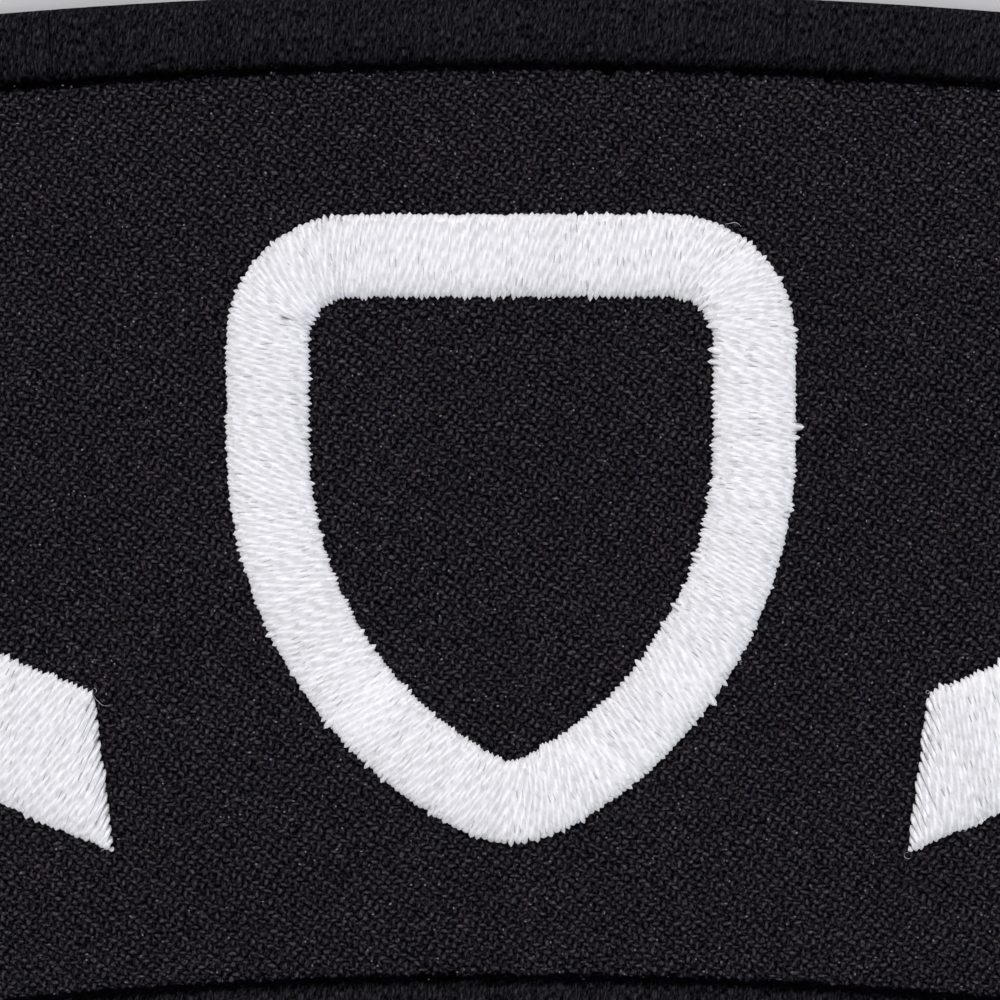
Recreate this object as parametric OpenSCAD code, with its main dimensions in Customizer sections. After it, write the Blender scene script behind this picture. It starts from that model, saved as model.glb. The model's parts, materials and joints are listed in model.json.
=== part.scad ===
// Arched twill patch, a top rocker, with a satin border and raised satin figures. Millimetres.
// The patch lies flat with its back at z = 0 and its arch towards +Y.

/* [Band] */
// Radius of the outer edge along the top
top_radius = 367; // [340:1:420]
// Height of the band, from its lower to its upper edge along a radius
band_height = 63.8; // [60:0.1:72]
// Angle from the middle of the band to either end
half_angle = 24.5; // [24:0.1:27]
// Radius of the four outer corners
corner_radius = 7; // [6:0.5:9]
// Thickness of the twill together with the backing fused to it
cloth_thickness = 1; // [0.8:0.1:1.4]

/* [Border] */
// Width of the satin border
border_width = 4.5; // [3.6:0.1:5]
// Height of the border's crown above the back of the patch
border_height = 2.1; // [1.8:0.05:2.6]
// Width of the thread that wraps over the cut edge of the twill
wrap_width = 1.2; // [1:0.1:1.6]
// Gap between the wrapped thread and the cut edge
edge_gap = 0.1; // [0.05:0.05:0.3]

/* [Row of figures] */
// Gap between the lower border and the feet of the figures
foot_gap = 8.1; // [5:0.1:12]
// Height of a figure
figure_height = 37.8; // [32:0.1:40]
// Angle between one figure and the next
figure_pitch = 7.14; // [6.9:0.01:7.3]
// Height of the satin above the twill, at its crown
satin_height = 0.9; // [0.6:0.05:1.2]
// Height of the satin above the twill, at its edge
satin_edge = 0.35; // [0.2:0.05:0.5]

/* [Shields] */
// Width of a shield
shield_width = 34.2; // [30:0.1:36]
// Width of the satin band that draws it
shield_band = 5; // [4:0.1:5.5]
// Radius of its two upper corners, on the outside
shield_corner = 7.5; // [6.5:0.1:10]
// Radius of its point, on the outside
shield_tip = 6.5; // [6:0.1:9]
// Height at which its straight sides end, above its middle
shield_shoulder = 5; // [0:0.5:8]

/* [Chevrons and stars] */
// Width of a chevron
chevron_width = 31; // [26:0.1:32]
// Upright thickness of a chevron's legs
chevron_band = 9.7; // [7:0.1:10.5]
// Slope of a chevron's legs
chevron_slope = 30; // [25:1:32]
// Radius through the points of the star over a chevron
star_radius = 8.6; // [6:0.1:9]
// Radius through a star's notches, as a share of the radius through its points
star_notch = 0.4; // [0.39:0.01:0.5]
// Radius through the points of a star at the end of the row
end_star_radius = 10; // [7:0.1:11]
// Angle from the middle of the band to the stars at the ends
end_star_angle = 20.4; // [20:0.1:21]

/* [Hidden] */

CLOTH = "#1e1c22";
BLACK_SATIN = "#16151a";
WHITE_SATIN = "#e4e3e8";

ARC_STEPS = 12;    // steps from the middle of the band to the end of a long arc
CORNER_STEPS = 6;  // steps round each of the band's corners
TURN_STEPS = 6;    // steps round each bend of a shield

foot_radius = top_radius - band_height;
figure_radius = foot_radius + border_width + foot_gap + figure_height / 2;

// Points are given by a radius and an angle from +Y towards +X
function around(r, angle) = [r * sin(angle), r * cos(angle)];
function arc(centre, r, from, to, steps) =
    [for (i = [0:steps]) centre + around(r, from + (to - from) * i / steps)];
function after_first(list) = [for (i = [1:len(list) - 1]) list[i]];
function reversed(list) = [for (i = [len(list) - 1:-1:0]) list[i]];

// Both halves of an outline, from its right half: its first and last points lie on the Y axis
function both_halves(right) =
    concat(right, [for (p = reversed(right)) if (abs(p.x) > 0.0001) [-p.x, p.y]]);

// Outline of the band at a distance inside its outer edge, about the centre of its arcs
upper_turn = asin(corner_radius / (top_radius - corner_radius));
lower_turn = asin(corner_radius / (foot_radius + corner_radius));
function band_outline(inset) = let (
    upper = half_angle - upper_turn,
    lower = half_angle - lower_turn,
    bend = corner_radius - inset
) both_halves(concat(
    arc([0, 0], top_radius - inset, 0, upper, ARC_STEPS),
    after_first(arc(around(top_radius - corner_radius, upper), bend, upper, half_angle + 90, CORNER_STEPS)),
    arc(around(foot_radius + corner_radius, lower), bend, half_angle + 90, lower + 180, CORNER_STEPS),
    after_first(arc([0, 0], foot_radius + inset, lower, 0, ARC_STEPS))
));

// The row frame has the middle of the band's box at its origin
band_edge = [for (p = band_outline(0)) p.y];
centre_y = (max(band_edge) + min(band_edge)) / 2;

// Outline of a shield at a distance inside its outer edge, about the middle of its box
flank_drop = shield_shoulder + figure_height / 2 - shield_tip;
flank_radius = (pow(shield_width / 2, 2) + pow(flank_drop, 2) - pow(shield_tip, 2))
    / (shield_width - 2 * shield_tip);
function shield_outline(inset) = let (
    half = shield_width / 2,
    top = figure_height / 2,
    flank = flank_radius,
    end = 90 + atan2(flank_drop, flank - half)
) both_halves(concat(
    [[0, top - inset]],
    arc([half - shield_corner, top - shield_corner], shield_corner - inset, 0, 90, TURN_STEPS),
    arc([half - flank, shield_shoulder], flank - inset, 90, end, TURN_STEPS),
    after_first(arc([0, shield_tip - top], shield_tip - inset, end, 180, TURN_STEPS / 2))
));

// Outline of a chevron at a distance inside its edge, with its feet's lower corners at y = 0
function chevron_outline(inset) = let (
    half = chevron_width / 2 - inset,
    rise = half * tan(chevron_slope),
    low = (inset + inset * sin(chevron_slope)) / cos(chevron_slope),
    high = chevron_band + (inset * sin(chevron_slope) - inset) / cos(chevron_slope)
) [[0, high + rise], [half, high], [half, low], [0, low + rise], [-half, low], [-half, high]];
// Its two legs, as places along that outline
CHEVRON_CAP = [[0, 1, 2, 3], [0, 3, 4, 5]];

// Outline of a five-pointed star at a distance inside its edge, about its centre
function star_reach(r) = r * star_notch * sin(36) / norm([1 - star_notch * cos(36), star_notch * sin(36)]);
function star_outline(r, inset) = let (points = r * (1 - inset / star_reach(r)))
    [for (i = [0:9]) around(i % 2 == 0 ? points : points * star_notch, 36 * i)];
// Its five points and its middle, as places along that outline
STAR_CAP = concat([for (tip = [0:2:8]) [(tip + 9) % 10, tip, tip + 1]], [[1, 3, 5, 7, 9]]);

// Sections, as rows of [distance inside the edge, height]
INSET = 0;
HEIGHT = 1;
function border_crown(share) = cloth_thickness + (border_height - cloth_thickness) * share;
border_section = [
    [wrap_width, 0],
    [0.05 * border_width, 0],
    [0, 0.5 * cloth_thickness],
    [0.03 * border_width, border_crown(0.2)],
    [0.14 * border_width, border_crown(0.72)],
    [0.34 * border_width, border_crown(1)],
    [0.62 * border_width, border_crown(0.98)],
    [0.88 * border_width, border_crown(0.72)],
    [border_width, border_crown(0.3)],
    [border_width, cloth_thickness],
    [wrap_width, cloth_thickness]
];
function satin_crown(share) = satin_edge + (satin_height - satin_edge) * share;
function satin_ring_section(width) = [
    [0, 0],
    [0, satin_crown(0)],
    [0.14 * width, satin_crown(0.65)],
    [0.5 * width, satin_crown(1)],
    [0.86 * width, satin_crown(0.65)],
    [width, satin_crown(0)],
    [width, 0]
];
function satin_mound_section(reach) = [
    [0, 0],
    [0, satin_crown(0)],
    [0.35 * reach, satin_crown(0.65)],
    [0.8 * reach, satin_crown(1)]
];

// Loops of one length, each clockwise from above, stacked into a solid. Without a cap it is a ring that
// closes on itself, and with one it is a mound, whose floor and top are made of the cap's convex faces
function side_faces(rows, n, closed) =
    [for (k = [0:rows - (closed ? 1 : 2)], j = [0:n - 1]) let (up = (k + 1) % rows, on = (j + 1) % n)
        [k * n + j, k * n + on, up * n + on, up * n + j]];
module stack(loops, heights, cap = []) {
    n = len(loops[0]);
    rows = len(loops);
    points = [for (k = [0:rows - 1]) for (p = loops[k]) [p.x, p.y, heights[k]]];
    bottom = [for (face = cap) reversed(face)];
    top = [for (face = cap) [for (j = face) (rows - 1) * n + j]];
    polyhedron(points, concat(side_faces(rows, n, len(cap) == 0), bottom, top), convexity = 6);
}

// A figure's place: its own middle on the row of figures, turned with the arch, face to face with the twill
module on_the_row(angle) {
    translate([0, -centre_y, cloth_thickness]) rotate([0, 0, -angle])
        translate([0, figure_radius, 0]) children();
}

module twill_ground() {
    color(CLOTH) translate([0, -centre_y, 0]) linear_extrude(cloth_thickness)
        polygon(band_outline(wrap_width + edge_gap));
}

module border() {
    color(BLACK_SATIN) translate([0, -centre_y, 0]) stack(
        [for (row = border_section) band_outline(row[INSET])],
        [for (row = border_section) row[HEIGHT]]);
}

module shield(angle) {
    section = satin_ring_section(shield_band);
    color(WHITE_SATIN) on_the_row(angle) stack(
        [for (row = section) shield_outline(row[INSET])],
        [for (row = section) row[HEIGHT]]);
}

module chevron(angle) {
    section = satin_mound_section(chevron_band * cos(chevron_slope) / 2);
    color(WHITE_SATIN) on_the_row(angle) translate([0, -figure_height / 2, 0]) stack(
        [for (row = section) chevron_outline(row[INSET])],
        [for (row = section) row[HEIGHT]],
        CHEVRON_CAP);
}

module star(angle, r, lift) {
    section = satin_mound_section(star_reach(r));
    color(WHITE_SATIN) on_the_row(angle) translate([0, lift, 0]) stack(
        [for (row = section) star_outline(r, row[INSET])],
        [for (row = section) row[HEIGHT]],
        STAR_CAP);
}

star_lift = figure_height / 2 - star_radius;
end_star_lift = end_star_radius * (cos(36) - 1) / 2;

twill_ground();
border();
shield(0);  // shield_centre
shield(-2 * figure_pitch);  // shield_left
shield(2 * figure_pitch);  // shield_right
chevron(-figure_pitch);  // chevron_left
chevron(figure_pitch);  // chevron_right
star(-figure_pitch, star_radius, star_lift);  // star_left
star(figure_pitch, star_radius, star_lift);  // star_right
star(-end_star_angle, end_star_radius, end_star_lift);  // end_star_left
star(end_star_angle, end_star_radius, end_star_lift);  // end_star_right
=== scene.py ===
"""An arched twill patch with a satin border and raised satin figures, dressed thread by thread."""

import json
import math

import bmesh
import bpy
import numpy as np
from bpy.props import FloatProperty, FloatVectorProperty, IntProperty, PointerProperty
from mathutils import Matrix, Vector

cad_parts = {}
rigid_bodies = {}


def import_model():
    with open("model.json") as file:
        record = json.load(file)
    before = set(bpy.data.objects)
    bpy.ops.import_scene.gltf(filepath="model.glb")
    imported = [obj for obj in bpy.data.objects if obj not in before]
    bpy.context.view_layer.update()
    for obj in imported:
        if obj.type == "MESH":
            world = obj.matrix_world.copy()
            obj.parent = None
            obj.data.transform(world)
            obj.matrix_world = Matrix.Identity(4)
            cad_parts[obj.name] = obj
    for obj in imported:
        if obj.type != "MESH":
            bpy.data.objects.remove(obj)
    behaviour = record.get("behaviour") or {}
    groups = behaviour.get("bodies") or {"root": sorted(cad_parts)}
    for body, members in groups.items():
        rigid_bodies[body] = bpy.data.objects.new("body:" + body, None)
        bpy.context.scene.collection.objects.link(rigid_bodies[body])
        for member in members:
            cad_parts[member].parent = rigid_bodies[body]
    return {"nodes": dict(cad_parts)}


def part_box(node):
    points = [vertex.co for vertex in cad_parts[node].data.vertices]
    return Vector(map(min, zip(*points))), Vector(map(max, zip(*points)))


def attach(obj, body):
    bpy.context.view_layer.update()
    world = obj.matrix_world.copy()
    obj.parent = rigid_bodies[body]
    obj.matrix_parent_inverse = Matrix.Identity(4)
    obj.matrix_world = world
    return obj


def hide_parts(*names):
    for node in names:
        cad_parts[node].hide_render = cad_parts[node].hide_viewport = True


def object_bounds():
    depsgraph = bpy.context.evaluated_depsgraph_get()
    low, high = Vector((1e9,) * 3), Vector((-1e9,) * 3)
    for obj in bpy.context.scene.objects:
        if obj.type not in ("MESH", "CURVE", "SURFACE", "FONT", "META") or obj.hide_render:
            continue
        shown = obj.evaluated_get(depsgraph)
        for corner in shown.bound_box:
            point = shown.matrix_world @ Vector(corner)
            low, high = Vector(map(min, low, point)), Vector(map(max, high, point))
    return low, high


bl_info = {
    "name": "Rocker patch",
    "version": (1, 0, 0),
    "blender": (4, 5, 0),
    "location": "3D View > Sidebar > Rocker patch",
    "description": "Builds an arched twill patch with a satin border and raised satin figures",
    "category": "Object",
}

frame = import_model()
CAD_LOW, CAD_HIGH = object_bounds()
TWILL_LOW, TWILL_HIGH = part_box("twill_ground")
SHIELD_LOW, SHIELD_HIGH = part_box("shield_centre")
MM = 0.001
QUARTER_TURN = math.pi / 2

PHOTO_PIXEL = 0.06 * MM        # width of one pixel of the photograph on the twill
PHOTO_SIZE = 1000              # pixels along a side of the photograph
VIEW_MIDDLE_X = -11            # pixels from the middle of the arch to the photograph's middle, to the right
VIEW_TOP = 9.5                 # pixels from the patch's outer edge down to the top of the photograph


# Sizes and colours that a user would change

def a_length(name, description, default):
    return FloatProperty(
        name=name, description=description, default=default, unit="LENGTH", subtype="DISTANCE", precision=5)


def an_angle(name, description, degrees):
    return FloatProperty(
        name=name, description=description, default=math.radians(degrees), unit="ROTATION", subtype="ANGLE")


def a_colour(name, description, default):
    return FloatVectorProperty(name=name, description=description, default=default, subtype="COLOR", size=3)


class PatchSizes(bpy.types.PropertyGroup):
    """Sizes of the band, its border and the row of figures"""
    top_radius: a_length("Top radius", "Radius of the patch's outer edge along the top", 367 * MM)
    band_height: a_length(
        "Band height", "From the lower to the upper edge of the band, along a radius", 63.8 * MM)
    half_angle: an_angle("Half angle", "Angle from the middle of the band to either end", 24.5)
    corner_radius: a_length("Corner radius", "Radius of the four outer corners", 7 * MM)
    cloth_thickness: a_length(
        "Cloth thickness", "Thickness of the twill together with its backing", TWILL_HIGH.z - TWILL_LOW.z)
    border_width: a_length("Border width", "Width of the satin border", 4.5 * MM)
    border_height: a_length(
        "Border height", "Height of the border's crown above the back of the patch", CAD_HIGH.z - CAD_LOW.z)
    wrap_width: a_length(
        "Wrap width", "Width of the thread that wraps under the cut edge of the twill", 1.2 * MM)
    foot_gap: a_length("Foot gap", "Gap between the lower border and the feet of the figures", 8.1 * MM)
    figure_height: a_length("Figure height", "Height of a shield", SHIELD_HIGH.y - SHIELD_LOW.y)
    figure_pitch: an_angle("Figure pitch", "Angle between one figure and the next", 7.14)
    satin_height: a_length(
        "Satin height", "Height of the satin above the twill, at its crown", SHIELD_HIGH.z - SHIELD_LOW.z)
    satin_edge: a_length("Satin edge", "Height of the satin above the twill, at its edge", 0.35 * MM)


class FigureSizes(bpy.types.PropertyGroup):
    """Sizes of the shields, chevrons and stars"""
    shield_width: a_length("Shield width", "Width of a shield", SHIELD_HIGH.x - SHIELD_LOW.x)
    shield_band: a_length("Shield band", "Width of the satin band that draws a shield", 5 * MM)
    shield_corner: a_length(
        "Shield corner", "Radius of a shield's upper corners, on the outside", 7.5 * MM)
    shield_tip: a_length("Shield tip", "Radius of a shield's point, on the outside", 6.5 * MM)
    shield_shoulder: a_length(
        "Shield shoulder", "Height at which a shield's straight sides end, above its middle", 5 * MM)
    chevron_width: a_length("Chevron width", "Width of a chevron", 31 * MM)
    chevron_band: a_length("Chevron band", "Upright thickness of a chevron's legs", 9.7 * MM)
    chevron_slope: an_angle("Chevron slope", "Slope of a chevron's legs", 30)
    star_radius: a_length(
        "Star radius", "Radius through the points of the star over a chevron", 8.6 * MM)
    star_notch: FloatProperty(
        name="Star notch", default=0.4, subtype="FACTOR",
        description="Radius through a star's notches, as a share of the one through its points")
    end_star_radius: a_length(
        "End star radius", "Radius through the points of a star at the end of the row", 10 * MM)
    end_star_angle: an_angle(
        "End star angle", "Angle from the middle of the band to the stars at the ends", 20.4)


class ThreadSizes(bpy.types.PropertyGroup):
    """Sizes of the embroidery thread and how evenly it lies"""
    satin_pitch: a_length("Satin pitch", "Distance from one white stitch to the next", 0.32 * MM)
    satin_width: a_length("Satin thread width", "Width of the flattened white thread", 0.6 * MM)
    border_pitch: a_length("Border pitch", "Distance from one border stitch to the next", 0.37 * MM)
    border_thread: a_length("Border thread width", "Width of the flattened border thread", 0.55 * MM)
    thickness: a_length("Thread thickness", "Thickness of the flattened thread", 0.17 * MM)
    ply_length: a_length("Ply length", "Length of one full turn of the thread's two plies", 1.75 * MM)
    needle_wander: a_length(
        "Needle wander", "How far the needle points stray from the edge of the satin", 0.09 * MM)
    lean: a_length("Lean", "How far a stitch's inner end slants along a band, at most", 0.45 * MM)
    seed: IntProperty(name="Seed", description="Start of the small irregularities", default=11)


class PatchColours(bpy.types.PropertyGroup):
    """Colours of the cloth, the threads and the floor"""
    twill: a_colour("Twill", "Colour of the twill's yarns", (0.0220, 0.0199, 0.0235))
    black_thread: a_colour("Black thread", "Colour of the border's thread", (0.0063, 0.0058, 0.0075))
    white_thread: a_colour("White thread", "Colour of the figures' thread", (0.71, 0.70, 0.731))
    floor: a_colour("Floor", "Colour of the floor", (0.436, 0.434, 0.445))


def sizes():
    return bpy.context.scene.patch_sizes


def figures():
    return bpy.context.scene.patch_figures


def threads():
    return bpy.context.scene.patch_threads


def colours():
    return bpy.context.scene.patch_colours


def chance(name):
    """A generator of small irregularities, the same in each run and different for each piece."""
    return np.random.default_rng([threads().seed, *name.encode()])


# Places on the plane. Angles are measured from +Y towards +X, as a rocker's arch is drawn

ARCH_STEPS = 90                # steps from the middle of the band to the end of a long arc
CORNER_STEPS = 24              # steps round each of the band's corners
POINT_STEP = math.pi / 5       # angle from a star's point to the notch beside it


def around(radius, angle):
    return np.stack((radius * np.sin(angle), radius * np.cos(angle)), axis=-1)


def arc(centre, radius, first, last, steps=40):
    return np.asarray(centre) + around(radius, np.linspace(first, last, steps + 1))


def both_halves(right):
    return np.vstack((right, right[::-1] * (-1, 1)))


def arch_centre():
    """Centre of the band's arcs, below the middle of the patch."""
    return np.array((0.0, CAD_HIGH.y - sizes().top_radius))


def band_edge(inset):
    """Outline of the band at a distance inside its outer edge."""
    s = sizes()
    foot_radius = s.top_radius - s.band_height
    corner = s.corner_radius
    bend = corner - inset
    upper = s.half_angle - math.asin(corner / (s.top_radius - corner))
    lower = s.half_angle - math.asin(corner / (foot_radius + corner))
    end = s.half_angle + QUARTER_TURN
    return arch_centre() + both_halves(np.vstack((
        arc((0, 0), s.top_radius - inset, 0, upper, ARCH_STEPS),
        arc(around(s.top_radius - corner, upper), bend, upper, end, CORNER_STEPS),
        arc(around(foot_radius + corner, lower), bend, end, lower + math.pi, CORNER_STEPS),
        arc((0, 0), foot_radius + inset, lower, 0, ARCH_STEPS),
    )))


def shield_edge(inset):
    """Outline of a shield at a distance inside its outer edge, about its middle."""
    f = figures()
    half, top = f.shield_width / 2, sizes().figure_height / 2
    corner, tip, shoulder = f.shield_corner, f.shield_tip, f.shield_shoulder
    drop = shoulder + top - tip
    flank = (half ** 2 + drop ** 2 - tip ** 2) / (2 * (half - tip))
    turn = QUARTER_TURN + math.atan2(drop, flank - half)
    return both_halves(np.vstack((
        [[0, top - inset]],
        arc((half - corner, top - corner), corner - inset, 0, QUARTER_TURN),
        arc((half - flank, shoulder), flank - inset, QUARTER_TURN, turn),
        arc((0, tip - top), tip - inset, turn, math.pi),
    )))


def chevron_edge():
    """Outline of a chevron, clockwise from its peak, about the middle of its figure."""
    f = figures()
    half, band = f.chevron_width / 2, f.chevron_band
    rise = half * math.tan(f.chevron_slope)
    points = ((0, band + rise), (half, band), (half, 0), (0, rise), (-half, 0), (-half, band))
    return np.array(points) - (0, sizes().figure_height / 2)


def star_size(kind):
    """A star's radius, and how far its middle lies above the middle of its figure."""
    f = figures()
    if kind == "star":
        return f.star_radius, sizes().figure_height / 2 - f.star_radius
    return f.end_star_radius, f.end_star_radius * (math.cos(POINT_STEP) - 1) / 2


def star_points(radius):
    reach = np.where(np.arange(10) % 2 == 0, radius, radius * figures().star_notch)
    return around(reach, np.arange(10) * POINT_STEP)


def star_reach(radius):
    """Distance from a star's centre to the lines through its edges."""
    notch = figures().star_notch
    aside, up = notch * math.sin(POINT_STEP), notch * math.cos(POINT_STEP)
    return radius * aside / math.hypot(1 - up, aside)


def on_the_row(angle):
    """Puts points of a figure on the row of figures, turned with the arch."""
    s = sizes()
    radius = s.top_radius - s.band_height + s.border_width + s.foot_gap + s.figure_height / 2
    turned = np.array(((math.cos(angle), -math.sin(angle)), (math.sin(angle), math.cos(angle))))
    return lambda points: arch_centre() + (points + (0, radius)) @ turned


def row_of_figures(*kinds):
    """Name, kind and angle of each figure on the row, or only of some kinds of figure."""
    step, end = sizes().figure_pitch, figures().end_star_angle
    row = [("shield_centre", "shield", 0)]
    for kind, turn in (("shield", 2 * step), ("chevron", step), ("star", step), ("end_star", end)):
        row += [(kind + "_left", kind, -turn), (kind + "_right", kind, turn)]
    return [figure for figure in row if not kinds or figure[1] in kinds]


def satin_outlines():
    """The outlines of all satin on the twill, in place."""
    outlines = {"shield": [shield_edge(0), shield_edge(figures().shield_band)], "chevron": [chevron_edge()]}
    for kind in ("star", "end_star"):
        radius, lift = star_size(kind)
        outlines[kind] = [star_points(radius) + (0, lift)]
    return [on_the_row(angle)(outline) for _, kind, angle in row_of_figures() for outline in outlines[kind]]


SWAYS = range(2, 12)           # numbers of waves round a band, in which its stitches lean to and fro
SWAY_DAMPING = 2.5             # the waves add up, so each is this many times lower than the lean


def spread_between(outer, inner, pitch, weight, lean, random):
    """Stitches from edge to edge of a closed band, a pitch apart, that lean a little in turn."""
    middle = outer * (1 - weight) + inner * weight
    steps = np.linalg.norm(np.diff(np.vstack((middle, middle[:1])), axis=0), axis=1)
    run = np.concatenate(([0], np.cumsum(steps)))
    count = round(run[-1] / pitch)
    places = np.arange(count) * run[-1] / count
    sway = np.zeros(count)
    for waves in SWAYS:
        sway += np.sin(2 * math.pi * (waves * places / run[-1] + random.random())) * lean / SWAY_DAMPING
    order = np.arange(len(run))
    ends = []
    for edge, shift in ((outer, 0), (inner, sway)):
        index = np.interp((places + shift) % run[-1], run, order)
        closed = np.vstack((edge, edge[:1]))
        ends.append(np.stack([np.interp(index, order, closed[:, axis]) for axis in (0, 1)], axis=-1))
    return ends


def fill_outline(outline, direction, pitch):
    """Parallel stitches that fill a convex outline, a pitch apart."""
    across = np.array((-direction[1], direction[0]))
    levels = outline @ across
    low, high = levels.min(), levels.max()
    count = round((high - low) / pitch)
    starts, ends = [], []
    for level in low + (np.arange(count) + 0.5) * (high - low) / count:
        hits = []
        for a, b in zip(outline, np.roll(outline, -1, axis=0)):
            before, after = a @ across - level, b @ across - level
            if before * after < 0:
                hits.append(a + (b - a) * before / (before - after))
        hits.sort(key=lambda point: point @ direction)
        starts.append(hits[0])
        ends.append(hits[-1])
    return np.array(starts), np.array(ends)


def fill_parts(parts, shortest=0.0):
    """The stitches that fill the parts of a figure, from each part's outline and its stitches' direction."""
    starts, ends = [], []
    for outline, direction in parts:
        first, last = fill_outline(outline, direction, threads().satin_pitch)
        wide = np.linalg.norm(last - first, axis=1) > shortest
        starts.append(first[wide])
        ends.append(last[wide])
    return np.vstack(starts), np.vstack(ends)


def distance_to(points, outlines):
    """Distance from each point to the nearest edge of some closed outlines."""
    nearest = np.full(points.shape[:-1], np.inf)
    for outline in outlines:
        for a, b in zip(outline, np.roll(outline, -1, axis=0)):
            run = b - a
            if run @ run > 0:
                share = np.clip((points - a) @ run / (run @ run), 0, 1)
                away = np.linalg.norm(points - a - share[..., None] * run, axis=-1)
                nearest = np.minimum(nearest, away)
    return nearest


# Threads. A stitch is a flattened tube, and a piece's stitches are one joined mesh

THREAD_SIDES = 5
STATIONS = 10                  # points along a stitch
NEEDLE_LUCK = (-0.2, 0.7)      # middle and spread of the draw that says how far past its mark a needle lands
OVERSHOOT = 0.04 * MM          # how far outside the outline that mark is
STEADY_LENGTH = 2 * MM         # shorter stitches stray less, in proportion to their length
SIDE_STRAY = 0.03 * MM         # how far a needle point lies astray along the edge
BOW = 0.038 * MM               # how far a stitch bows to one side
SNAKE = 0.018 * MM             # how far it winds to both sides
UPS_AND_DOWNS = 0.01 * MM      # how much higher or lower than the satin a stitch lies
DIVE_LENGTH = 0.38 * MM        # a stitch dives into the cloth over this length at either end
TIP_LENGTH = 0.54 * MM         # a thread thins out over this length at either end
DIVE_DEPTH = 0.5 * MM          # how deep a stitch dives at its ends
RIM_HEIGHT = 0.32 * MM         # padding lower than this above the cloth would show past the diving threads
ROOF_POWER = 5                 # the higher, the steeper the edge of the satin and the flatter its crown
UNEVEN_WIDTH = 0.06            # by what share one thread is wider than another
TIP_FLATTENING = 0.6           # the tips of a thread thin less in height than in width


def satin_roof(depth, reach):
    """Height of the satin above the twill at a depth inside its outline."""
    s = sizes()
    share = 1 - (1 - np.clip(depth / reach, 0, 1)) ** ROOF_POWER
    return s.satin_edge + (s.satin_height - s.satin_edge) * share


def stitch_paths(starts, ends, outlines, reach, dives, random):
    """Centre lines of raised stitches, which come up at a needle point, cross the mound and dive."""
    t = threads()
    count = len(starts)
    run = ends - starts
    length = np.linalg.norm(run, axis=1, keepdims=True)
    along = run / length
    across = np.stack((-along[:, 1], along[:, 0]), axis=1)
    stray = t.needle_wander * np.minimum(1, length / STEADY_LENGTH)
    starts = starts - along * (OVERSHOOT + stray * random.gumbel(*NEEDLE_LUCK, (count, 1)))
    ends = ends + along * (OVERSHOOT + stray * random.gumbel(*NEEDLE_LUCK, (count, 1)))
    starts = starts + across * random.normal(0, SIDE_STRAY, (count, 1))
    ends = ends + across * random.normal(0, SIDE_STRAY, (count, 1))
    length = np.linalg.norm(ends - starts, axis=1)

    share = (1 - np.cos(np.linspace(0, math.pi, STATIONS))) / 2
    plan = starts[:, None] + (ends - starts)[:, None] * share[:, None]
    bow = random.normal(0, BOW, (count, 1)) * np.sin(math.pi * share) ** 2
    bow += random.normal(0, SNAKE, (count, 1)) * np.sin(2 * math.pi * share)
    plan = plan + across[:, None] * bow[..., None]

    height = satin_roof(distance_to(plan, outlines), reach) - t.thickness / 2
    height += random.normal(0, UPS_AND_DOWNS, (count, 1)) * np.sin(math.pi * share) ** 0.5
    for distance, depth in ((share * length[:, None], dives[0]), ((1 - share) * length[:, None], dives[1])):
        height -= np.asarray(depth).reshape(-1, 1) * np.clip(1 - distance / DIVE_LENGTH, 0, 1) ** 2
    return np.dstack((plan, height))


def thread_mesh(name, paths, width, thickness, material, random, taper=0.12):
    """A joined mesh of flattened tubes along the paths, with maps along the thread and for the bake."""
    count, stations, _ = paths.shape
    tangent = np.gradient(paths, axis=1)
    tangent /= np.linalg.norm(tangent, axis=2, keepdims=True)
    plan = paths[:, -1, :2] - paths[:, 0, :2]
    plan /= np.linalg.norm(plan, axis=1, keepdims=True)
    side = np.dstack((-plan[:, 1], plan[:, 0], np.zeros(count)))[0][:, None]
    normal = np.cross(tangent, side)

    steps = np.linalg.norm(np.diff(paths, axis=1), axis=2)
    run = np.concatenate((np.zeros((count, 1)), np.cumsum(steps, axis=1)), axis=1)
    to_end = np.minimum(run, run[:, -1:] - run)
    swell = taper + (1 - taper) * np.clip(to_end / TIP_LENGTH, 0, 1)
    swell = swell * random.normal(1, UNEVEN_WIDTH, (count, 1))
    # the first corner of the section is underneath, and so its upper side is flat
    turn = -QUARTER_TURN + np.arange(THREAD_SIDES) * 2 * math.pi / THREAD_SIDES
    half_width = (width / 2 * swell)[..., None, None]
    half_height = (thickness / 2 * swell ** TIP_FLATTENING)[..., None, None]
    wide = half_width * np.cos(turn)[:, None] * side[:, :, None]
    high = half_height * np.sin(turn)[:, None] * normal[:, :, None]
    rings = paths[:, :, None] + wide + high

    index = np.arange(count * stations * THREAD_SIDES).reshape(count, stations, THREAD_SIDES)
    after = np.roll(index, -1, axis=2)
    quads = np.stack((index[:, :-1], after[:, :-1], after[:, 1:], index[:, 1:]), axis=-1).reshape(-1, 4)
    caps = np.vstack((index[:, 0, ::-1], index[:, -1]))
    mesh = bpy.data.meshes.new(name)
    mesh.from_pydata(rings.reshape(-1, 3).tolist(), [], quads.tolist() + caps.tolist())

    map_thread(mesh, run, random.random(count))
    tone = mesh.attributes.new("thread_tone", "FLOAT", "POINT")
    tone.data.foreach_set("value", np.repeat(random.random(count), stations * THREAD_SIDES))
    smooth = np.arange(len(quads) + len(caps)) < len(quads)
    mesh.polygons.foreach_set("use_smooth", smooth)
    mesh.materials.append(bpy.data.materials[material])
    return link_object(name, mesh)


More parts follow.
